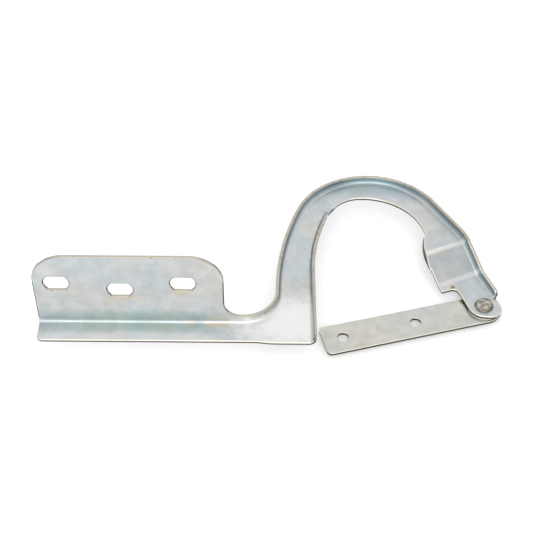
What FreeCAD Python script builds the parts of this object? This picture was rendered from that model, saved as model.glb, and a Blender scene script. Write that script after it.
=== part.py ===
import FreeCAD, Part
import Sketcher
import math
import os

# Swan-neck lid hinge of pressed and plated sheet steel, in millimetres.
#
# Modelling datum: X runs along the fold between the upright slotted plate and the flat web, from
# the plate's free end; Y runs from the plate's front face towards the arch of the neck; Z is up,
# with the top of the web at zero. At the end every piece is moved so that the origin is midway
# between the plate's outer slots, on the plate's rear face, where the hinge is bolted down.

CELLS = [
    # pressed sheet
    ("sheet", 2.0, "thickness of the arm's sheet"),
    ("bend_inside", 2.5, "inside radius between the web and its upright flange"),
    ("flange_rise", 4.3, "flange and lip height above the web"),
    ("overshoot", 30.0, "distance by which cutting shapes run past the piece"),
    # slotted plate and the band in front of it
    ("plate_length", 104.8, "plate along the fold"),
    ("plate_rise", 51.3, "plate height above the web"),
    ("plate_corner", 19.0, "radius of the plate's two top corners"),
    ("plate_step", 10.0, "radius where the plate drops to the flange"),
    ("band_depth", 14.2, "web in front of the plate"),
    ("band_corner", 3.5, "radius of the band's outer corner"),
    ("hem_start", 120.0, "where the front edge begins to swell"),
    ("hem_radius", 49.0, "both arcs of the swell"),
    ("hem_turn", 8.2, "turn of each arc of the swell"),
    # outer wall of the neck
    ("throat_radius", 18.8, "outer face of the flange round the throat"),
    ("neck_offset", 133.6, "outer face of the flange at the foot of the neck"),
    ("leg_radius", 187.0, "gentle sweep of the neck's left leg"),
    ("leg_turn", 21.9, "turn of that sweep"),
    ("arch_radius", 47.5, "outer face over the arch"),
    ("arch_turn", 127.1, "turn of the arch"),
    ("shank_run", 26.0, "straight after the arch"),
    ("shank_radius", 60.0, "slight bend into the shank"),
    ("shank_turn", 9.4, "turn of the slight bend"),
    ("flange_run", 39.9, "straight flange down the shank, to just past its cut end"),
    ("flange_corner", 3.2, "radius of the flange's corner at its free end"),
    # inner edge of the neck
    ("lip_offset", 156.55, "outer face of the lip at the foot of the neck"),
    ("lip_straight", 36.5, "end of the straight part of the lip"),
    ("lip_radius", 135.0, "sweep of the lip"),
    ("lip_turn", 24.2, "turn of that sweep"),
    ("ease_turn", 17.5, "turn at which the web's edge starts to come out from under the lip"),
    ("crook_radius", 20.0, "tight turn into the arch"),
    ("crook_turn", 61.3, "turn of the crook"),
    ("hollow_radius", 36.8, "underside of the arch"),
    ("hollow_turn", 82.4, "turn of the underside of the arch"),
    ("heel_radius", 8.0, "edge coming down from the arch"),
    ("heel_turn", 25.6, "turn of that edge"),
    ("waist_radius", 40.0, "hollow beside the first crease"),
    ("waist_turn", 36.5, "turn of that hollow"),
    ("shank_edge", 14.7, "straight inner edge of the shank"),
    ("apron_reach", 2.6, "turned-down edge of the waist below the underside of the web"),
    ("apron_flare", 0.7, "how far the foot of that edge stands out"),
    ("lip_front", 2.2, "lip height at its front end"),
    ("lip_ramp", 8.0, "length over which the lip rises to the flange's height"),
    ("lip_notch", 60.0, "where the lip steps down"),
    ("lip_low", 3.4, "lip height after the step"),
    ("lip_knee", 84.0, "where the lip starts to run out"),
    ("lip_last", 2.3, "lip height there"),
    ("lip_end", 91.5, "where the lip has run out"),
    # stop edge, notch and pivot tab
    ("stop_heading", 20.0, "heading of the stop edge"),
    ("stop_run", 5.85, "length of the stop edge"),
    ("notch_radius", 3.55, "relief between the stop edge and the tab"),
    ("notch_turn", 90.8, "turn of the relief"),
    ("tab_side", 13.6, "straight left side of the tab"),
    ("tab_toe", 9.0, "lower left corner radius of the tab"),
    ("tab_toe_turn", 66.7, "turn of that corner"),
    ("tab_end", 3.9, "straight end of the tab"),
    ("tab_corner", 7.0, "lower right corner radius of the tab"),
    ("tab_corner_turn", 110.0, "turn of that corner"),
    ("tab_flank", 18.2, "right flank of the tab"),
    ("tab_flank_turn", 22.5, "turn of the flank"),
    # joggle that lowers the tab below the web
    ("crease_x", 225.8, "a point on the first crease"),
    ("crease_y", 56.0, "the same point"),
    ("crease_angle", 24.6, "direction of both creases from X"),
    ("joggle_run", 21.5, "distance between the creases in plan"),
    ("joggle_drop", 9.0, "drop from the web to the tab"),
    ("crease_inside", 6.0, "inside radius of both creases"),
    ("crease_reach", 35.0, "how far the creases' surfaces run to the left of that point"),
    # slots
    ("slot_length", 14.0, "slot end to end, and the diameter of its round ends"),
    ("slot_width", 10.5, "between the slot's flats"),
    ("slot_first", 13.1, "first slot from the plate's free end"),
    ("slot_pitch", 34.7, "from one slot to the next"),
    ("slot_row", 30.5, "outer slots above the web"),
    ("slot_step", 5.0, "middle slot below the outer two"),
    # pivot
    ("pivot_x", 255.1, "pivot axis"),
    ("pivot_y", 21.9, "pivot axis"),
    ("tenon", 8.0, "rivet diameter through the tab"),
    ("shoulder", 10.0, "rivet diameter through the strap"),
    ("peen_width", 11.2, "peened head diameter"),
    ("peen_height", 2.4, "peened head height"),
    ("peen_crown", 0.7, "rise of the peened head's crown above its side"),
    ("rear_width", 14.0, "rear head diameter"),
    ("rear_height", 2.4, "rear head height"),
    ("rear_crown", 1.0, "rise of the rear head's crown above its side"),
    ("play", 0.05, "running clearance, radial and endwise"),
    # friction washer
    ("washer_width", 18.0, "friction washer diameter"),
    ("washer_thickness", 0.4, "friction washer thickness"),
    # strap leaf
    ("strap_angle", 15.3, "strap's direction at rest, below the X axis"),
    ("strap_width", 20.6, "strap width"),
    ("strap_thickness", 2.0, "strap thickness"),
    ("strap_corner", 3.0, "corner radius of the strap's free end"),
    ("strap_near", 42.0, "pivot to the nearer screw hole"),
    ("strap_pitch", 43.9, "between the two screw holes"),
    ("strap_margin", 11.9, "outer screw hole to the strap's end"),
    ("strap_hole", 6.6, "screw hole diameter, for a 6 mm screw"),
]

doc = FreeCAD.newDocument("SwanNeckHinge")
dims = doc.addObject("Spreadsheet::Sheet", "dims")
for row, (alias, number, note) in enumerate(CELLS, start=1):
    dims.set(f"A{row}", str(number))
    dims.setAlias(f"A{row}", alias)
    dims.set(f"B{row}", note)
doc.recompute()

BEND_OUTSIDE = "(dims.sheet + dims.bend_inside)"
JOGGLE_TURN = "atan(dims.joggle_drop / dims.joggle_run)"
TAB_BELOW = "(dims.joggle_drop + dims.sheet)"
STRAP_TOP = f"({TAB_BELOW} + dims.washer_thickness + dims.play)"
STRAP_BELOW = f"({STRAP_TOP} + dims.strap_thickness)"
UP = FreeCAD.Vector(0, 0, 1)


def value(expression):
    """Number that an expression on the sheet's cells gives now."""
    result = dims.evalExpression(expression)
    return float(getattr(result, "Value", result))


def standing(heading):
    """Rotation of an upright sketch plane: its X along a heading in plan, its Y along Z."""
    return FreeCAD.Rotation(UP, heading) * FreeCAD.Rotation(FreeCAD.Vector(1, 0, 0), 90)


class Trace:
    """Outline drawn edge after edge in a sketch, with every size bound to an expression."""

    def __init__(self, sketch, start_x, start_y):
        self.sketch = sketch
        self.start = (start_x, start_y)
        self.point = FreeCAD.Vector(value(start_x), value(start_y), 0)
        self.heading = 0.0
        self.first = None
        self.last = None
        self.marks = []

    def bind(self, expression, kind, *references):
        number = value(expression)
        if kind == "Angle":
            number = math.radians(number)
        index = self.sketch.addConstraint(Sketcher.Constraint(kind, *references, number))
        self.sketch.setExpression(f"Constraints[{index}]", expression)

    def join(self, edge, begin, end, kind):
        if self.last is None:
            self.bind(self.start[0], "DistanceX", -1, 1, edge, begin)
            self.bind(self.start[1], "DistanceY", -1, 1, edge, begin)
            self.first = (edge, begin)
        else:
            self.sketch.addConstraint(Sketcher.Constraint(kind, *self.last, edge, begin))
        self.last = (edge, end)

    def line(self, length, heading=None):
        """Straight edge, tangent to the one before unless it has a heading of its own."""
        if heading is not None:
            self.heading = value(heading)
        angle = math.radians(self.heading)
        end = self.point + FreeCAD.Vector(math.cos(angle), math.sin(angle), 0) * value(length)
        self.marks.append((self.point, self.heading, None, length, 0))
        edge = self.sketch.addGeometry(Part.LineSegment(self.point, end), False)
        if heading is None:
            self.join(edge, 1, 2, "Tangent")
        else:
            self.join(edge, 1, 2, "Coincident")
            self.bind(heading, "Angle", edge)
        self.bind(length, "Distance", edge)
        self.point = end

    def to(self, x, y):
        """Straight edge to a stated point."""
        end = FreeCAD.Vector(value(x), value(y), 0)
        step = end - self.point
        self.heading = math.degrees(math.atan2(step.y, step.x))
        edge = self.sketch.addGeometry(Part.LineSegment(self.point, end), False)
        self.join(edge, 1, 2, "Coincident")
        self.bind(x, "DistanceX", -1, 1, edge, 2)
        self.bind(y, "DistanceY", -1, 1, edge, 2)
        self.point = end

    def arc(self, radius, turn, side, square=0, closing=False):
        """Arc to the left (side 1) or right (-1), tangent to the last edge or square to it."""
        self.heading += 90 * square
        size = value(radius)
        angle = math.radians(self.heading)
        sweep = math.radians(value(turn))
        centre = self.point + FreeCAD.Vector(-math.sin(angle), math.cos(angle), 0) * (size * side)
        self.marks.append((self.point, self.heading, centre, turn, side))
        begin = angle - side * math.pi / 2
        low, high = sorted((begin, begin + side * sweep))
        circle = Part.Circle(centre, UP, size)
        edge = self.sketch.addGeometry(Part.ArcOfCircle(circle, low, high), False)
        ends = (1, 2) if side > 0 else (2, 1)
        self.join(edge, *ends, "Perpendicular" if square else "Tangent")
        if closing:
            self.sketch.addConstraint(Sketcher.Constraint("Coincident", *self.last, *self.first))
        else:
            self.bind(radius, "Radius", edge)
            self.bind(turn, "Angle", edge)
        final = begin + side * sweep
        self.point = centre + FreeCAD.Vector(math.cos(final), math.sin(final), 0) * size
        self.heading += side * math.degrees(sweep)

    def close(self):
        """Straight edge back to the first point."""
        end = FreeCAD.Vector(value(self.start[0]), value(self.start[1]), 0)
        edge = self.sketch.addGeometry(Part.LineSegment(self.point, end), False)
        self.join(edge, 1, 2, "Coincident")
        self.sketch.addConstraint(Sketcher.Constraint("Coincident", edge, 2, *self.first))


def plane_sketch(name, heading=None, base=None):
    """Sketch lying in plan, or standing upright along a heading, at a base point."""
    sketch = doc.addObject("Sketcher::SketchObject", name)
    rotation = FreeCAD.Rotation() if heading is None else standing(heading)
    sketch.Placement = FreeCAD.Placement(base or FreeCAD.Vector(), rotation)
    return sketch


def extrusion(name, sketch, forward, back):
    """Solid swept along the sketch's normal by two distances."""
    solid = doc.addObject("Part::Extrusion", name)
    solid.Base = sketch
    solid.DirMode = "Normal"
    solid.Solid = True
    solid.setExpression("LengthFwd", forward)
    solid.setExpression("LengthRev", back)
    return solid


def boolean(kind, name, base, tool):
    """Part::Cut, Part::Common or Part::Fuse of two objects, computed at once."""
    result = doc.addObject(f"Part::{kind}", name)
    result.Base = base
    result.Tool = tool
    doc.recompute()
    return result


def cylinder(name, diameter, height, x, y, z):
    """Upright cylinder with its foot at a point."""
    solid = doc.addObject("Part::Cylinder", name)
    solid.setExpression("Radius", f"({diameter}) / 2")
    solid.setExpression("Height", height)
    solid.setExpression("Placement.Base.x", x)
    solid.setExpression("Placement.Base.y", y)
    solid.setExpression("Placement.Base.z", z)
    return solid


# ---------------------------------------------------------------- gooseneck arm

FAR = "10 * dims.overshoot"
WALL_EDGES = 7
LIP_SPANS = 2
FRONT = "(dims.band_depth + 2 * dims.hem_radius * (1 - cos(dims.hem_turn)))"
HOLLOW_HEADING = "(90 - dims.lip_turn - dims.crook_turn)"
FLANGE_HEADING = "(90 - dims.leg_turn - dims.arch_turn - dims.shank_turn)"


def wall_outline(name, inset):
    """Plan of all that lies inside the outer wall, or inside its inner face."""
    trace = Trace(plane_sketch(name), "-dims.overshoot", f"dims.sheet - {inset}")
    trace.line("dims.overshoot + dims.neck_offset - dims.throat_radius", "0")
    trace.arc(f"dims.throat_radius + {inset}", "90", 1)
    trace.arc(f"dims.leg_radius - {inset}", "dims.leg_turn", -1)
    trace.arc(f"dims.arch_radius - {inset}", "dims.arch_turn", -1)
    trace.line("dims.shank_run")
    trace.arc(f"dims.shank_radius - {inset}", "dims.shank_turn", -1)
    trace.line("dims.flange_run")
    trace.line("2 * dims.overshoot", f"{FLANGE_HEADING} + 90")
    trace.to(FAR, "-2 * dims.overshoot")
    trace.to("-dims.overshoot", "-2 * dims.overshoot")
    trace.close()
    return trace


def joggle_outline(name, offset):
    """Elevation, square to the creases, of all that lies above an offset of the web's top."""
    base = FreeCAD.Vector(value("dims.crease_x"), value("dims.crease_y"), 0)
    half = f"tan({JOGGLE_TURN} / 2)"
    first = f"(dims.crease_inside + dims.sheet + ({offset}))"
    second = f"(dims.crease_inside - ({offset}))"
    slope = f"sqrt(dims.joggle_run ^ 2 + dims.joggle_drop ^ 2) - ({first} + {second}) * {half}"
    sketch = plane_sketch(name, value("dims.crease_angle") - 90, base)
    trace = Trace(sketch, f"-{FAR}", offset)
    trace.line(f"{FAR} + ({offset}) * {half} - {first} * {half}", "0")
    trace.arc(first, JOGGLE_TURN, -1)
    trace.line(slope)
    trace.arc(second, JOGGLE_TURN, 1)
    trace.line("3 * dims.overshoot")
    trace.to("5 * dims.overshoot", "3 * dims.overshoot")
    trace.to(f"-{FAR}", "3 * dims.overshoot")
    trace.close()
    return trace.sketch


def joggle_side(name, offset):
    """Space above an offset of the creased part of the web."""
    return extrusion(name, joggle_outline(f"{name}_outline", offset), "dims.crease_reach", FAR)


def wall_edges(block, outline):
    """Numbers of the edges where a block's underside meets its outer wall."""
    wall = Part.Compound(outline.sketch.Shape.Edges[:WALL_EDGES])
    chosen = []
    for index, edge in enumerate(block.Shape.Edges, start=1):
        middle = edge.valueAt((edge.FirstParameter + edge.LastParameter) / 2)
        if middle.z > value("dims.plate_rise") / 2:
            continue
        plan_point = Part.Vertex(middle.x, middle.y, 0)
        if plan_point.distToShape(wall)[0] < 0.01:
            chosen.append(index)
    return chosen


def rounded_block(name, inset, offset, radius):
    """Block inside the wall, above an offset of the web, with its lower wall edge rounded; and the
    marks of the wall's edges."""
    outline = wall_outline(f"{name}_outline", inset)
    plan = extrusion(f"{name}_plan", outline.sketch, "3 * dims.overshoot", "dims.overshoot")
    flat = doc.addObject("Part::Box", f"{name}_flat")
    flat.setExpression("Length", f"2 * {FAR}")
    flat.setExpression("Width", f"2 * {FAR}")
    flat.setExpression("Height", "3 * dims.overshoot")
    flat.setExpression("Placement.Base.x", f"-{FAR}")
    flat.setExpression("Placement.Base.y", f"-{FAR}")
    flat.setExpression("Placement.Base.z", offset)
    side = boolean("Fuse", f"{name}_side", flat, joggle_side(f"{name}_joggle", offset))
    block = boolean("Common", f"{name}_block", plan, side)
    rounded = doc.addObject("Part::Fillet", name)
    rounded.Base = block
    size = value(radius)
    rounded.Edges = [(index, size, size) for index in wall_edges(block, outline)]
    doc.recompute()
    return rounded, outline.marks


def lip_foot(trace):
    """Web's own edge along the lip: set in to the start of the bend, then straight out onto the crook."""
    outer = f"(dims.lip_radius + {BEND_OUTSIDE})"
    inner = "(dims.lip_radius - dims.crook_radius)"
    across = f"({outer} * cos(dims.ease_turn) - {inner} * cos(dims.lip_turn))"
    along = f"({inner} * sin(dims.lip_turn) - {outer} * sin(dims.ease_turn))"
    apart = f"sqrt({across} ^ 2 + {along} ^ 2)"
    heading = f"((atan({along} / {across}) + asin(dims.crook_radius / {apart})) / 1 deg)"
    trace.arc(outer, "dims.ease_turn", -1)
    trace.line(f"sqrt({across} ^ 2 + {along} ^ 2 - dims.crook_radius ^ 2)", heading)
    trace.arc("dims.crook_radius", f"{heading} - {HOLLOW_HEADING}", -1)


def lip_face(trace):
    """Outer face of the lip, up to the crook."""
    trace.arc("dims.lip_radius", "dims.lip_turn", -1)
    trace.arc("dims.crook_radius", "dims.crook_turn", -1)


def inner_edge(trace, beside_lip):
    """Neck's inner edge from the front corner to the shank, beside the lip as its function draws it."""
    trace.line(f"{FRONT} + dims.lip_straight", "90")
    beside_lip(trace)
    trace.arc("dims.hollow_radius", "dims.hollow_turn", -1)
    trace.arc("dims.heel_radius", "dims.heel_turn", -1)
    trace.arc("dims.waist_radius", "dims.waist_turn", 1)


def web_outline():
    """Plan of the blank's cut edges; along the flange it runs well outside."""
    trace = Trace(plane_sketch("web_outline"), "0", "dims.overshoot")
    trace.line("dims.overshoot + dims.band_depth - dims.band_corner", "-90")
    trace.arc("dims.band_corner", "90", 1)
    trace.line("dims.hem_start - dims.band_corner")
    trace.arc("dims.hem_radius", "dims.hem_turn", -1)
    trace.arc("dims.hem_radius", "dims.hem_turn", 1)
    trace.line(
        f"dims.lip_offset - {BEND_OUTSIDE} - dims.hem_start"
        " - 2 * dims.hem_radius * sin(dims.hem_turn)"
    )
    inner_edge(trace, lip_foot)
    trace.line("dims.shank_edge")
    trace.line("dims.stop_run", "dims.stop_heading")
    trace.arc("dims.notch_radius", "dims.notch_turn", -1)
    trace.line("dims.tab_side")
    trace.arc("dims.tab_toe", "dims.tab_toe_turn", 1)
    trace.line("dims.tab_end")
    trace.arc("dims.tab_corner", "dims.tab_corner_turn", 1)
    trace.arc("dims.tab_flank", "dims.tab_flank_turn", 1)
    trace.line("dims.overshoot", f"{FLANGE_HEADING} + 90")
    trace.to(FAR, "5 * dims.overshoot")
    trace.to("0", "5 * dims.overshoot")
    trace.close()
    return trace


def lip_section(name, point, heading):
    """Upright section of the turned-up lip, with the web to its left."""
    trace = Trace(plane_sketch(name, heading + 90, point), "0", "dims.flange_rise")
    trace.line("dims.flange_rise - dims.bend_inside", "-90")
    trace.arc(BEND_OUTSIDE, "90", 1)
    trace.line("dims.sheet", "90")
    trace.arc("dims.bend_inside", "90", -1, square=1)
    trace.line("dims.flange_rise - dims.bend_inside")
    trace.close()
    return trace.sketch


def apron_section(name, point, heading):
    """Upright section of the turned-down edge, with the web to its left."""
    root = "-dims.sheet / 2"
    foot = "-dims.sheet - dims.apron_reach"
    trace = Trace(plane_sketch(name, heading + 90, point), "-dims.apron_flare", foot)
    trace.to("dims.sheet - dims.apron_flare", foot)
    trace.to("dims.sheet", root)
    trace.to("0", root)
    trace.close()
    return trace.sketch


def turned_edge(name, mark, section):
    """Edge turned out of the web along one straight or round stretch of the inner edge."""
    point, heading, centre, size, side = mark
    profile = section(f"{name}_section", point, heading)
    if centre is None:
        return extrusion(name, profile, size, "0")
    span = doc.addObject("Part::Revolution", name)
    span.Source = profile
    span.Base = centre
    span.Axis = UP * side
    span.Solid = True
    span.setExpression("Angle", size)
    return span


def lip_cut(name, corners):
    """Cut across the lip, seen from its side, by the space above a line and between two ends."""
    base = FreeCAD.Vector(value("dims.lip_offset - dims.sheet / 2"), 0, 0)
    trace = Trace(plane_sketch(name, 90, base), *corners[0])
    for corner in corners[1:]:
        trace.to(*corner)
    trace.close()
    return extrusion(f"{name}_cut", trace.sketch, "dims.overshoot", "0")


def silhouette():
    """Front view of the whole arm: rounded plate, step down to the flange, flange to the right."""
    trace = Trace(plane_sketch("silhouette", 0), "0", "-dims.overshoot")
    trace.line("dims.overshoot + dims.plate_rise - dims.plate_corner", "90")
    trace.arc("dims.plate_corner", "90", -1)
    trace.line("dims.plate_length - 2 * dims.plate_corner")
    trace.arc("dims.plate_corner", "90", -1)
    trace.line("dims.plate_rise - dims.plate_corner - dims.flange_rise - dims.plate_step")
    trace.arc("dims.plate_step", "90", 1)
    trace.line(FAR)
    trace.to(FAR, "-dims.overshoot")
    trace.close()
    return extrusion("silhouette_prism", trace.sketch, FAR, FAR)


def flange_corner(start, end):
    """Rounding of the flange's top corner at its free end, cut square to the flange."""
    run = (end[0] - start[0]).dot(FreeCAD.Rotation(UP, start[1]).multVec(FreeCAD.Vector(1, 0, 0)))
    foot = "dims.flange_rise - dims.joggle_drop"
    sketch = plane_sketch("flange_corner", start[1], start[0])
    trace = Trace(sketch, f"{run} - dims.flange_corner", foot)
    trace.arc("dims.flange_corner", "90", -1)
    trace.line("dims.overshoot", "0")
    trace.line("dims.overshoot", "90")
    trace.line("dims.overshoot + dims.flange_corner", "180")
    trace.close()
    return extrusion("flange_corner_cut", trace.sketch, "3 * dims.sheet", "3 * dims.sheet")


def slot(name, x, z):
    """Slot through the plate, centred on x and z: a round hole between two flats."""
    bore = cylinder(f"{name}_bore", "dims.slot_length", "4 * dims.sheet", x, "2 * dims.sheet", z)
    bore.Placement.Rotation = FreeCAD.Rotation(FreeCAD.Vector(1, 0, 0), 90)
    flats = doc.addObject("Part::Box", f"{name}_flats")
    flats.setExpression("Length", "dims.slot_length")
    flats.setExpression("Width", "4 * dims.sheet")
    flats.setExpression("Height", "dims.slot_width")
    flats.setExpression("Placement.Base.x", f"{x} - dims.slot_length / 2")
    flats.setExpression("Placement.Base.y", "-2 * dims.sheet")
    flats.setExpression("Placement.Base.z", f"{z} - dims.slot_width / 2")
    return boolean("Common", f"{name}_cut", bore, flats)


mass, wall_marks = rounded_block("press_outside", "0", "-dims.sheet", BEND_OUTSIDE)
hollow, _ = rounded_block("press_inside", "dims.sheet", "0", "dims.bend_inside")
web = web_outline()
blank = extrusion("web_blank", web.sketch, "3 * dims.overshoot", "dims.overshoot")
path = Trace(plane_sketch("edge_path"), "dims.lip_offset", f"-{FRONT}")
inner_edge(path, lip_face)
full_lip = doc.addObject("Part::MultiFuse", "full_lip")
full_lip.Shapes = [
    turned_edge(f"lip_span_{number}", mark, lip_section)
    for number, mark in enumerate(path.marks[:LIP_SPANS], start=1)
]
apron = turned_edge("apron", path.marks[-1], apron_section)
front_end = lip_cut("lip_front_end", [
    (f"-{FRONT} - dims.lip_ramp", "dims.lip_front"),
    (f"-{FRONT}", "dims.lip_front"),
    (f"dims.lip_ramp - {FRONT}", "2 * dims.flange_rise - dims.lip_front"),
])
run_out = lip_cut("lip_run_out", [
    ("dims.lip_notch", "2 * dims.flange_rise"),
    ("dims.lip_notch", "dims.lip_low"),
    ("dims.lip_knee", "dims.lip_last"),
    ("dims.lip_end", "0"),
    ("dims.lip_end + dims.overshoot", "0"),
    ("dims.lip_end + dims.overshoot", "2 * dims.flange_rise"),
])
lip = boolean("Cut", "lip", boolean("Cut", "lip_with_front_end", full_lip, front_end), run_out)
pressing = boolean("Common", "cut_blank", mass, blank)
pressing = boolean("Fuse", "with_apron", pressing, apron)
pressing = boolean("Cut", "folded_sheet", pressing, hollow)
pressing = boolean("Fuse", "with_lip", pressing, lip)
pressing = boolean("Common", "with_plate", pressing, silhouette())
pressing = boolean("Cut", "shank_rim", pressing, joggle_side("rim", "dims.flange_rise"))
openings = [flange_corner(wall_marks[WALL_EDGES - 1], web.marks[-1])]
for number, drop in enumerate(("0", "dims.slot_step", "0")):
    x = f"(dims.slot_first + {number} * dims.slot_pitch)"
    openings.append(slot(f"slot_{number + 1}", x, f"(dims.slot_row - {drop})"))
openings.append(cylinder(
    "tenon_hole", "dims.tenon", "4 * dims.sheet",
    "dims.pivot_x", "dims.pivot_y", f"-{TAB_BELOW} - dims.sheet"
))
cuts = doc.addObject("Part::MultiFuse", "openings")
cuts.Shapes = openings
doc.recompute()
arm = boolean("Cut", "gooseneck_arm", pressing, cuts)

# ---------------------------------------------------------------- strap leaf


def body_sketch(body, name, plane):
    """Sketch on one of a body's own origin planes."""
    sketch = body.newObject("Sketcher::SketchObject", name)
    support = next(item for item in body.Origin.OriginFeatures if item.Role == plane)
    sketch.AttachmentSupport = [(support, "")]
    sketch.MapMode = "FlatFace"
    doc.recompute()
    return sketch


strap = doc.addObject("PartDesign::Body", "strap_leaf")
outline = Trace(body_sketch(strap, "strap_outline", "XY_Plane"), "0", "dims.strap_width / 2")
side_length = "dims.strap_near + dims.strap_pitch + dims.strap_margin - dims.strap_corner"
outline.line(side_length, "180")
outline.arc("dims.strap_corner", "90", 1)
outline.line("dims.strap_width - 2 * dims.strap_corner")
outline.arc("dims.strap_corner", "90", 1)
outline.line(side_length)
outline.arc("dims.strap_width / 2", "180", 1, closing=True)
bar = strap.newObject("PartDesign::Pad", "strap_bar")
bar.Profile = outline.sketch
bar.setExpression("Length", "dims.strap_thickness")
doc.recompute()
holes = body_sketch(strap, "strap_holes", "XY_Plane")
for distance, diameter in (
    ("0", "dims.shoulder + 2 * dims.play"),
    ("dims.strap_near", "dims.strap_hole"),
    ("dims.strap_near + dims.strap_pitch", "dims.strap_hole"),
):
    centre = FreeCAD.Vector(-value(distance), 0, 0)
    ring = holes.addGeometry(Part.Circle(centre, UP, value(diameter) / 2), False)
    for kind, references, expression in (
        ("Diameter", (ring,), diameter),
        ("DistanceX", (-1, 1, ring, 3), f"-({distance})"),
        ("DistanceY", (-1, 1, ring, 3), "0"),
    ):
        index = holes.addConstraint(Sketcher.Constraint(kind, *references, value(expression)))
        holes.setExpression(f"Constraints[{index}]", expression)
drilling = strap.newObject("PartDesign::Pocket", "strap_drilling")
drilling.Profile = holes
drilling.Type = "ThroughAll"
drilling.Reversed = True
doc.recompute()

# ---------------------------------------------------------------- pivot rivet and friction washer

rivet = doc.addObject("PartDesign::Body", "pivot_rivet")
rear_face = f"({STRAP_BELOW} - dims.joggle_drop + dims.play)"
rear_end = f"({rear_face} + dims.rear_height)"
profile = Trace(body_sketch(rivet, "rivet_profile", "XZ_Plane"), "0", f"-{rear_end}")
profile.line(f"{rear_end} + dims.peen_height", "90")
crown_span = "(0.84 * dims.peen_width / 2)"
crown_radius = f"(({crown_span} ^ 2 + dims.peen_crown ^ 2) / (2 * dims.peen_crown))"
profile.arc(crown_radius, f"asin({crown_span} / {crown_radius})", -1, square=-1)
profile.to("dims.peen_width / 2", "0")
profile.to("dims.tenon / 2", "0")
profile.to("dims.tenon / 2", "-dims.sheet")
profile.to("dims.shoulder / 2", "-dims.sheet")
profile.to("dims.shoulder / 2", f"-{rear_face}")
profile.to("dims.rear_width / 2", f"-{rear_face}")
profile.to("dims.rear_width / 2", f"dims.rear_crown - {rear_end}")
profile.close()
turning = rivet.newObject("PartDesign::Revolution", "rivet_turning")
turning.Profile = profile.sketch
turning.ReferenceAxis = (profile.sketch, ["V_Axis"])
turning.Angle = 360
doc.recompute()

disc = cylinder("washer_disc", "dims.washer_width", "dims.washer_thickness", "0", "0", "0")
eye = cylinder("washer_eye", "dims.shoulder + 2 * dims.play", "2 * dims.washer_thickness",
               "0", "0", "-dims.washer_thickness / 2")
washer = boolean("Cut", "friction_washer", disc, eye)

# ---------------------------------------------------------------- placing and writing

PIECES = [
    (arm, "0", "0", "0", "0"),
    (strap, "dims.pivot_x", "dims.pivot_y", f"-{STRAP_BELOW}", "dims.strap_angle"),
    (rivet, "dims.pivot_x", "dims.pivot_y", "-dims.joggle_drop", "0"),
    (washer, "dims.pivot_x", "dims.pivot_y", f"-{TAB_BELOW} - dims.washer_thickness", "0"),
]

for piece, x, y, z, turn in PIECES:
    piece.Label = piece.Name
    piece.Placement = FreeCAD.Placement(FreeCAD.Vector(), FreeCAD.Rotation(UP, value(turn)))
    piece.setExpression("Placement.Base.x", f"{x} - dims.slot_first - dims.slot_pitch")
    piece.setExpression("Placement.Base.y", f"{y} - dims.sheet")
    piece.setExpression("Placement.Base.z", f"{z} - dims.slot_row")
doc.recompute()

for item in doc.Objects:
    if "Invalid" in item.State or "Error" in item.State:
        raise RuntimeError(f"{item.Name} failed to recompute: {item.State}")
for piece, *_ in PIECES:
    if piece.Shape.isNull() or not piece.Shape.isValid() or len(piece.Shape.Solids) != 1:
        raise RuntimeError(f"{piece.Name} is not one valid solid")

os.makedirs("parts", exist_ok=True)
for piece, *_ in PIECES:
    piece.Shape.exportStep(os.path.join("parts", f"{piece.Label}.step"))
    box = piece.Shape.BoundBox
    print(f"{piece.Label}: {piece.Shape.Volume:.1f} mm3, "
          f"{box.XLength:.2f} x {box.YLength:.2f} x {box.ZLength:.2f} mm")
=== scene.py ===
import math

import bmesh
import bpy
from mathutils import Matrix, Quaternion, Vector
from mathutils.bvhtree import BVHTree


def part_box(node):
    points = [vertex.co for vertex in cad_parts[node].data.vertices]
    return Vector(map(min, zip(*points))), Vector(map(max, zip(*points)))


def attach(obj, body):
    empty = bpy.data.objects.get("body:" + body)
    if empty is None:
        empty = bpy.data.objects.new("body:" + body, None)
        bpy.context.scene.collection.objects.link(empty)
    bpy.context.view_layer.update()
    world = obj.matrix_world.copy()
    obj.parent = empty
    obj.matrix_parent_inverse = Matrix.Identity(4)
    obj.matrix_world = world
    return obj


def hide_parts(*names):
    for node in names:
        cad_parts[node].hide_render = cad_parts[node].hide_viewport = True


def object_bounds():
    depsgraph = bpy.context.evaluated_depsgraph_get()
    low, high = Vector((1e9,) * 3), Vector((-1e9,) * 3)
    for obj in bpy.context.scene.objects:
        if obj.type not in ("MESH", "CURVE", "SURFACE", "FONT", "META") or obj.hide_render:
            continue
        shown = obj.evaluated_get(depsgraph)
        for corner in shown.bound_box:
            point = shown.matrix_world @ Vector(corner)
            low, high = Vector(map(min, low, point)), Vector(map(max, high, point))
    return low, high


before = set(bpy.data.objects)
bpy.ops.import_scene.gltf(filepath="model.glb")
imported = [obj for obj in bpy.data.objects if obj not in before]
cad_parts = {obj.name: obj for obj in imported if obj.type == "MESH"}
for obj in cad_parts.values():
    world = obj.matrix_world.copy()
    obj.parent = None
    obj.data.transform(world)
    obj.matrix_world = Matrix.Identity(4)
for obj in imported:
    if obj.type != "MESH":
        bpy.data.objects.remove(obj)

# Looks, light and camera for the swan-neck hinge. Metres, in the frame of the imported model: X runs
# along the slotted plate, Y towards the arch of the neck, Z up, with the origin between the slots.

MM = 0.001
cad_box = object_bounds()

# The sheet's thickness, and heights and lines of the frame that finishes are placed by. Beyond the
# start of the crank the flange steps down with the web.
SHEET = 2.0 * MM
WEB_TOP = -30.5 * MM
CRANK_START = 186 * MM
STRAP_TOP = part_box("strap_leaf")[1].z
FLOOR = cad_box[0].z

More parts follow.
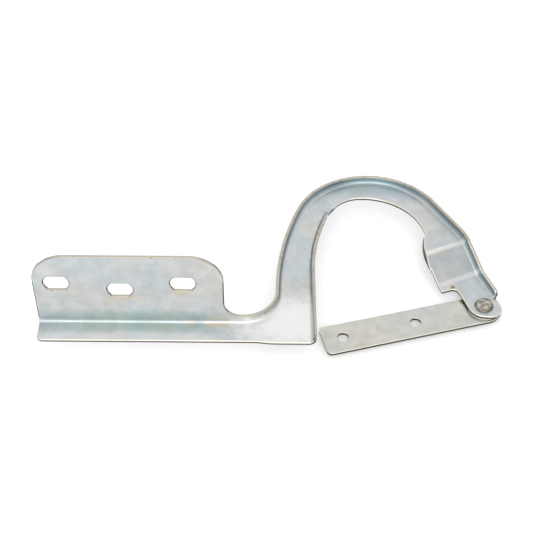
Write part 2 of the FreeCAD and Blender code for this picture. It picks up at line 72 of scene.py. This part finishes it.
# Distances that close the seams and drop slivers, the angles under which faces count as one and over
# which an edge is sheared, the rolls of the sheared edges, the depth of metal that tells a cut edge
# from the sheet's skin, and how far inside a face that depth is measured from.
SEAM = 0.002 * MM
WELD = 0.3 * MM
FLAT = math.radians(1.0)
CRISP = math.radians(40.0)
ARM_ROLL = 0.6 * MM
STRAP_ROLL = 0.35 * MM
DEEP = 1.4 * SHEET
NUDGE = 0.01 * MM

# Base colours of the plating, its edges and stains, the rivet, the washer and the floor, with the painted
# highlights and painted shade laid on the plating.
COOL_ZINC = (0.515, 0.56, 0.585)
WARM_ZINC = (0.575, 0.575, 0.555)
STRAP_COOL = (0.545, 0.56, 0.54)
STRAP_WARM = (0.585, 0.575, 0.515)
# Painted highlights: cream laid on the rolled edges and sheared rims that face up, where the light falls on
# them.
LIT_RIM_CREAM = (0.50, 0.47, 0.40)
LIT_ROLL_CREAM = (0.80, 0.77, 0.69)
# Dark of the cut edges: partly the bare sheared steel, partly painted shade on edges that face down and on
# faces under the web.
DARK_CUT_AND_SHADE = (0.085, 0.08, 0.065)
# Painted highlight: the white laid in stripes along the creases and in patches over the band and web.
PAINTED_HIGHLIGHT = (0.84, 0.84, 0.82)
RIVET_EDGE = (0.13, 0.105, 0.075)
RIVET_DARK = (0.20, 0.18, 0.145)
RIVET_BRIGHT = (0.60, 0.58, 0.50)
WASHER_DARK = (0.62, 0.60, 0.54)
WASHER_PALE = (0.72, 0.70, 0.65)
BROWN_SPECK = (0.16, 0.12, 0.08)
TAN = (0.62, 0.50, 0.33)
OLIVE = (0.30, 0.21, 0.05)
# Painted shade: teal on the upright walls and in the fold; green, a painted reflection on the band beside the
# fold.
TEAL_SHADE = (0.30, 0.40, 0.43)
GREEN_REFLECTION = (0.44, 0.52, 0.45)
FLOOR_TONES = (0.88, 0.88, 0.88), (0.90, 0.90, 0.90)
WHITE = (1.0, 1.0, 1.0, 1.0)

# How far a stain's outline wanders and how much of it is solid, as parts of its reach, and how far the
# lighter top of the rivet reaches, as a part of the head's width.
RAGGED = 0.6
CORE = 0.35
RIVET_TOP_REACH = 0.56


class Graph:
    """Node tree of one material, built from the coordinates of the object that carries it."""

    def __init__(self, name):
        self.material = bpy.data.materials.new(name)
        self.material.use_nodes = True
        self.tree = self.material.node_tree
        self.tree.nodes.clear()
        self.place = self.add("ShaderNodeTexCoord").outputs["Object"]

    def add(self, kind, inputs=None, **settings):
        """One node, with its settings made and its inputs linked or filled in."""
        node = self.tree.nodes.new(kind)
        for key, setting in settings.items():
            setattr(node, key, setting)
        for key, given in (inputs or {}).items():
            if isinstance(given, bpy.types.NodeSocket):
                self.tree.links.new(given, node.inputs[key])
            else:
                node.inputs[key].default_value = given
        return node

    def noise(self, period, detail=4.0, roughness=0.5, distortion=0.0):
        """Cloudy noise whose blots are about one period across."""
        inputs = {
            "Vector": self.place,
            "Scale": 1.0 / period,
            "Detail": detail,
            "Roughness": roughness,
            "Distortion": distortion,
        }
        return self.add("ShaderNodeTexNoise", inputs).outputs["Fac"]

    def spread(self, fac, low, high, to_low=0.0, to_high=1.0):
        """Stretches the part of a value between low and high, smoothly."""
        inputs = {"Value": fac, "From Min": low, "From Max": high, "To Min": to_low, "To Max": to_high}
        return self.add("ShaderNodeMapRange", inputs, interpolation_type="SMOOTHSTEP").outputs[0]

    def mix(self, fac, first, second):
        """Colour mixed from the first towards the second."""
        inputs = {"Factor": fac, 6: widened(first), 7: widened(second)}
        return self.add("ShaderNodeMix", inputs, data_type="RGBA").outputs[2]

    def sum(self, first, second, operation="ADD"):
        """Two values added, or put together by another operation."""
        return self.add("ShaderNodeMath", {0: first, 1: second}, operation=operation).outputs[0]

    def blot(self, centre, reach):
        """Mask of a soft ragged patch round a point, one reach wide each way along X, Y and Z."""
        away = self.add("ShaderNodeVectorMath", {0: self.place, 1: centre}, operation="SUBTRACT").outputs[0]
        inputs = {0: away, 1: tuple(1.0 / size for size in reach)}
        scaled = self.add("ShaderNodeVectorMath", inputs, operation="MULTIPLY").outputs[0]
        distance = self.add("ShaderNodeVectorMath", {0: scaled}, operation="LENGTH").outputs["Value"]
        fray = self.sum(self.noise(min(reach) * 1.2), RAGGED, "MULTIPLY")
        return self.spread(self.sum(distance, fray), 1.0 + RAGGED / 2, CORE + RAGGED / 2)

    def stripe(self, point, across, half_width, reach):
        """Soft stripe through a point, square to a direction, faded out at its reach."""
        away = self.add("ShaderNodeVectorMath", {0: self.place, 1: point}, operation="SUBTRACT").outputs[0]
        dot = self.add("ShaderNodeVectorMath", {0: away, 1: across}, operation="DOT_PRODUCT").outputs["Value"]
        near = self.spread(self.sum(dot, dot, "MULTIPLY"), half_width ** 2, 0.0)
        far = self.add("ShaderNodeVectorMath", {0: away}, operation="LENGTH").outputs["Value"]
        return self.sum(near, self.spread(far, reach, 0.6 * reach), "MULTIPLY")

    def marked(self, name):
        """Value of a face attribute."""
        return self.add("ShaderNodeAttribute", attribute_name=name).outputs["Fac"]

    def metal(self, colour, roughness, bump_height, bump_depth):
        """Metal surface from its colour, roughness and relief."""
        relief = {"Height": bump_height, "Distance": bump_depth, "Strength": 1.0}
        normal = self.add("ShaderNodeBump", relief).outputs["Normal"]
        inputs = {"Base Color": colour, "Metallic": 1.0, "Roughness": roughness, "Normal": normal}
        shader = self.add("ShaderNodeBsdfPrincipled", inputs).outputs[0]
        self.add("ShaderNodeOutputMaterial", {"Surface": shader})
        return self.material


def widened(colour):
    """Colour socket value: an RGB triple gets an alpha, a socket stays as it is."""
    return (*colour, 1.0) if isinstance(colour, tuple) else colour


def plating(name, cool, warm, stains_and_light, highlight_stripes=()):
    """Satin zinc plating: cloudy between two tones. It has painted teal shade on its upright walls, painted
    highlights in bright stripes along creases, and stains and patches of painted shade and highlight in
    places. It has painted highlights on the rolled edges and rims that face up. Its cut edges are duller,
    darker and flecked brown, partly as bare steel and partly as painted shade."""
    graph = Graph(name)
    clouds = graph.spread(graph.noise(34 * MM, 3, 0.55, 0.5), 0.36, 0.64)
    colour = graph.mix(clouds, cool, warm)
    mottle = graph.spread(graph.noise(7 * MM, 6, 0.6), 0.3, 0.7, 0.90, 1.05)
    colour = graph.add(
        "ShaderNodeVectorMath", {0: colour, "Scale": mottle}, operation="SCALE"
    ).outputs[0]
    wall_shade_noise = graph.spread(graph.noise(30 * MM, 2, 0.5), 0.3, 0.7, 0.5, 1.0)
    # Painted shade: teal on the upright walls, stronger in places.
    colour = graph.mix(graph.sum(graph.marked("shaded_wall"), wall_shade_noise, "MULTIPLY"), colour, TEAL_SHADE)
    # Painted highlights: bright stripes along the creases.
    for point, across, half_width, reach, strength in highlight_stripes:
        mask = graph.sum(graph.stripe(point, across, half_width, reach), strength, "MULTIPLY")
        colour = graph.mix(mask, colour, PAINTED_HIGHLIGHT)
    for centre, reach, tint, strength in stains_and_light:
        mask = graph.sum(graph.blot(centre, reach), strength, "MULTIPLY")
        colour = graph.mix(mask, colour, tint)
    specks = graph.spread(graph.noise(1.6 * MM, 3, 0.6), 0.58, 0.72)
    # Painted highlight: cream on the rolled edges that face up, and a duller cream on the sheared rims that
    # face up.
    colour = graph.mix(graph.marked("roll"), colour, graph.mix(specks, LIT_ROLL_CREAM, LIT_RIM_CREAM))
    colour = graph.mix(graph.marked("rim"), colour, graph.mix(specks, LIT_RIM_CREAM, BROWN_SPECK))
    # Dark on the cut edges, partly their bare steel and partly painted shade on faces turned down and under
    # the web; rougher there too.
    cut_and_shade = graph.marked("cut_and_shade")
    colour = graph.mix(cut_and_shade, colour, graph.mix(specks, DARK_CUT_AND_SHADE, BROWN_SPECK))
    grain = graph.noise(0.6 * MM, 4, 0.6)
    satin = graph.spread(graph.noise(12 * MM, 5, 0.6), 0.3, 0.7, 0.30, 0.42)
    roughness = graph.sum(satin, graph.sum(cut_and_shade, 0.2, "MULTIPLY"), "ADD")
    return graph.metal(colour, roughness, grain, 0.02 * MM)


def rivet_finish():
    """Bare hammered steel, lighter on its top and dark brown round its edge."""
    graph = Graph("rivet_steel")
    low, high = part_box("pivot_rivet")
    middle = ((low.x + high.x) / 2, (low.y + high.y) / 2, high.z)
    reach = RIVET_TOP_REACH * (high.x - low.x)
    clouds = graph.spread(graph.noise(2.2 * MM, 4, 0.6), 0.35, 0.65)
    colour = graph.mix(clouds, RIVET_DARK, RIVET_BRIGHT)
    # The head is lighter on its top and dark brown round its edge.
    colour = graph.mix(graph.blot(middle, (reach, reach, reach)), RIVET_EDGE, colour)
    dents = graph.noise(1.5 * MM, 2, 0.5)
    roughness = graph.spread(graph.noise(1.0 * MM, 4, 0.6), 0.3, 0.7, 0.35, 0.55)
    return graph.metal(colour, roughness, dents, 0.2 * MM)


def washer_finish():
    """Off-white moulded plastic with a fine matt grain."""
    graph = Graph("washer_plastic")
    tone = graph.mix(graph.noise(3 * MM, 4, 0.6), WASHER_DARK, WASHER_PALE)
    roughness = graph.spread(graph.noise(1.0 * MM), 0.3, 0.7, 0.45, 0.6)
    relief = {"Height": graph.noise(0.4 * MM), "Distance": 0.02 * MM}
    normal = graph.add("ShaderNodeBump", relief).outputs["Normal"]
    inputs = {"Base Color": tone, "Roughness": roughness, "Normal": normal}
    shader = graph.add("ShaderNodeBsdfPrincipled", inputs).outputs[0]
    graph.add("ShaderNodeOutputMaterial", {"Surface": shader})
    return graph.material


def widest_corner_centres(mesh):
    """For each face, the middle of the largest triangle it divides into, which lies inside it even where
    the face is hollow or has a hole."""
    mesh.faces.ensure_lookup_table()
    mesh.faces.index_update()
    widest = {}
    for loops in mesh.calc_loop_triangles():
        a, b, c = (loop.vert.co for loop in loops)
        area = (b - a).cross(c - a).length
        face = loops[0].face.index
        if area >= widest.get(face, (-1.0, None))[0]:
            widest[face] = (area, (a + b + c) / 3)
    return {face: centre for face, (_, centre) in widest.items()}


def rolled(node, name, body, roll, material):
    """Copy of a CAD node with its sheared edges rolled over, which stands for that node.

    Faces carry 1 in one of four attributes. "cut" goes on the sheared edges, which have more metal behind
    them than the sheet's thickness, and on rolled edges facing down and steep faces under the web; these are
    painted dark as shade. "rim" goes where sheared edges face up, painted lighter as lit. "roll" goes on the
    rolled edges round the web that face up, painted as a highlight (those of the taller walls count as rim).
    "wall" goes on the sides of the upright flange and lip, painted teal as shade.
    """
    mesh = bmesh.new()
    mesh.from_mesh(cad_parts[node].data)
    marks = {mark: mesh.faces.layers.float.new(mark) for mark in ("cut_and_shade", "rim", "roll", "shaded_wall")}
    bmesh.ops.remove_doubles(mesh, verts=mesh.verts, dist=SEAM)
    bmesh.ops.dissolve_limit(mesh, angle_limit=FLAT, verts=mesh.verts, edges=mesh.edges)
    bmesh.ops.remove_doubles(mesh, verts=mesh.verts, dist=WELD)
    solid = BVHTree.FromBMesh(mesh)
    crisp = [edge for edge in mesh.edges if edge.calc_face_angle(0.0) > CRISP]
    made = bmesh.ops.bevel(
        mesh, geom=crisp, offset=roll, offset_type="OFFSET", segments=2, profile=0.5,
        affect="EDGES", clamp_overlap=False, miter_outer="SHARP", miter_inner="SHARP",
    )
    for vert in mesh.verts:
        nearest, _, _, away = solid.find_nearest(vert.co)
        if away > roll:
            vert.co = nearest
    mesh.normal_update()
    roll_faces = set(made["faces"])
    inside = widest_corner_centres(mesh)
    for face in mesh.faces:
        face.smooth = True
        inward = -face.normal
        centre = inside[face.index]
        depth = solid.ray_cast(centre + inward * NUDGE, inward)[3]
        deep = depth is None or depth > DEEP
        # Rolled edges facing up are marked for a painted highlight, those facing down for painted shade.
        if face in roll_faces:
            upper = "roll" if centre.z < WEB_TOP + SHEET else "rim"
            mark = upper if face.normal.z > 0.0 else "cut_and_shade"
        # Sheared edges facing up are marked for a painted lighter rim. The others are dark, partly as bare
        # steel and partly as painted shade.
        elif deep:
            mark = "rim" if face.normal.z > 0.7 else "cut_and_shade"
        # Steep faces under the web, short of the crank, are marked dark as painted shade.
        elif abs(face.normal.z) < 0.8 and centre.y > SHEET:
            # Steep faces above the web, and all those past the crank, are marked for painted teal shade.
            mark = "shaded_wall" if centre.z > WEB_TOP or centre.x > CRANK_START else "cut_and_shade"
        else:
            continue
        face[marks[mark]] = 1.0
    data = bpy.data.meshes.new(name)
    mesh.to_mesh(data)
    mesh.free()
    data.set_sharp_from_angle(angle=CRISP)
    piece = bpy.data.objects.new(name, data)
    bpy.context.scene.collection.objects.link(piece)
    piece.data.materials.append(material)
    normals = piece.modifiers.new("flat_faces", "WEIGHTED_NORMAL")
    normals.keep_sharp = True
    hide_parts(node)
    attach(piece, body)
    return piece


def mm(x, y, z):
    """Point or size given in millimetres."""
    return (x * MM, y * MM, z * MM)


# Stains and painted light: middle, reach each way, colour and strength. The teal patches are painted shade in
# the fold and on the upright walls. The green one is a painted reflection on the band beside the fold. The
# bright ones are painted highlights, and the cool one is a plating tone. The tan and olive ones are stains.
ARM_STAINS_AND_LIGHT = [
    # Painted shade and reflection: teal in the fold along the plate's foot, green on the band beside it.
    (mm(5, -2, -28), mm(75, 3, 10), TEAL_SHADE, 0.45),
    (mm(3, -6, -30), mm(62, 4.5, 3), GREEN_REFLECTION, 0.5),
    # Painted highlights: bright patches on the front of the band and over the web.
    (mm(0, -14, -30), mm(85, 6, 4), PAINTED_HIGHLIGHT, 0.45),
    (mm(95, -2, -30), mm(45, 26, 4), PAINTED_HIGHLIGHT, 0.85),
    (mm(-2, -2, -12), mm(9, 2, 2.2), TAN, 0.45),
    (mm(6, -2, -10), mm(3, 2, 3), TAN, 0.4),
    (mm(33, -2, -7.2), mm(7, 2, 2.2), TAN, 0.55),
    (mm(38, -4, -29.5), mm(4, 3, 2.5), TAN, 0.6),
    (mm(53, -4.5, -30.5), mm(9, 3, 2), TAN, 0.5),
    (mm(185, 55, -32.5), mm(7, 4, 3), TAN, 0.3),
    (mm(190.5, 34, -39), mm(2.2, 3, 3), OLIVE, 0.9),
    # Painted shade: teal on the walls of the arch and the right leg, with a patch of plain cool zinc between.
    (mm(140, 112, -28), mm(50, 12, 9), TEAL_SHADE, 0.55),
    (mm(168, 84, -29), mm(12, 14, 4), COOL_ZINC, 0.8),
    (mm(198, 78, -27), mm(28, 45, 6), TEAL_SHADE, 0.50),
]

# Painted highlights along the two creases, as bright stripes: a point, the direction across, half width,
# reach and strength.
CREASE = math.radians(24.6)
ACROSS_CREASE = (math.sin(CREASE), -math.cos(CREASE), 0.0)
ARM_CREASE_HIGHLIGHTS = [
    (mm(186, 58, -31), ACROSS_CREASE, 2.2 * MM, 26 * MM, 0.7),
    (mm(196, 41, -40), ACROSS_CREASE, 2.0 * MM, 22 * MM, 0.55),
]

STRAP_STAINS = [
    (mm(195, 25.5, STRAP_TOP / MM), mm(2.2, 3.2, 1), OLIVE, 0.7),
]


def make_object():
    """The four pieces, each with its finish."""
    arm_finish = plating("plated_arm", COOL_ZINC, WARM_ZINC, ARM_STAINS_AND_LIGHT, ARM_CREASE_HIGHLIGHTS)
    rolled("gooseneck_arm", "arm_pressing", "arm", ARM_ROLL, arm_finish)
    rolled("strap_leaf", "strap_pressing", "strap", STRAP_ROLL,
           plating("plated_strap", STRAP_COOL, STRAP_WARM, STRAP_STAINS))
    finishes = {"pivot_rivet": rivet_finish(), "friction_washer": washer_finish()}
    for node, finish in finishes.items():
        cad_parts[node].material_slots[0].material = finish


def make_floor():
    """Pale floor just under the rear rivet head, lit a little from below as on a light table."""
    half = 3.0
    data = bpy.data.meshes.new("floor")
    corners = [(-half, -half), (half, -half), (half, half), (-half, half)]
    data.from_pydata([(x, y, FLOOR) for x, y in corners], [], [(0, 1, 2, 3)])
    floor = bpy.data.objects.new("floor", data)
    bpy.context.scene.collection.objects.link(floor)
    graph = Graph("pale_floor")
    tone = graph.mix(graph.noise(0.4), *FLOOR_TONES)
    inputs = {"Base Color": tone, "Roughness": 0.9, "Emission Color": WHITE, "Emission Strength": 0.2}
    shader = graph.add("ShaderNodeBsdfPrincipled", inputs).outputs[0]
    graph.add("ShaderNodeOutputMaterial", {"Surface": shader})
    data.materials.append(graph.material)


# Soft boxes: name, place, size and watts.
SOFT_BOXES = [
    ("soft_box_behind", (0.1, 1.5, 1.6), 2.4, 5.0),
    ("soft_box_front", (0.0, -1.5, 1.7), 2.2, 22.0),
]


def make_light():
    """A white studio: even light from all round, and soft boxes high up in front and behind."""
    scene = bpy.context.scene
    world = bpy.data.worlds.new("studio")
    scene.world = world
    world.use_nodes = True
    background = world.node_tree.nodes["Background"]
    background.inputs["Color"].default_value = WHITE
    background.inputs["Strength"].default_value = 0.85
    for name, place, size, energy in SOFT_BOXES:
        data = bpy.data.lights.new(name, "AREA")
        data.shape = "SQUARE"
        data.size = size
        data.energy = energy
        light = bpy.data.objects.new(name, data)
        light.location = place
        light.rotation_mode = "QUATERNION"
        light.rotation_quaternion = (-light.location).to_track_quat("-Z", "Y")
        scene.collection.objects.link(light)
    scene.view_settings.view_transform = "Standard"


def make_camera():
    """Camera above and in front of the hinge, looking along +Y and 46 degrees down."""
    aim = Vector(mm(80.4, 41.7, -30.5))
    elevation = math.radians(46.0)
    distance = 708 * MM
    roll = math.radians(0.43)
    back = Vector((0.0, -math.cos(elevation), math.sin(elevation)))
    data = bpy.data.cameras.new("camera")
    data.lens = 81.05
    data.sensor_width = 36.0
    data.clip_start = 0.05
    data.clip_end = 20.0
    camera = bpy.data.objects.new("camera", data)
    camera.location = aim + back * distance
    camera.rotation_mode = "QUATERNION"
    camera.rotation_quaternion = (-back).to_track_quat("-Z", "Y") @ Quaternion((0, 0, 1), roll)
    bpy.context.scene.collection.objects.link(camera)
    bpy.context.scene.camera = camera


make_object()
make_floor()
make_light()
make_camera()
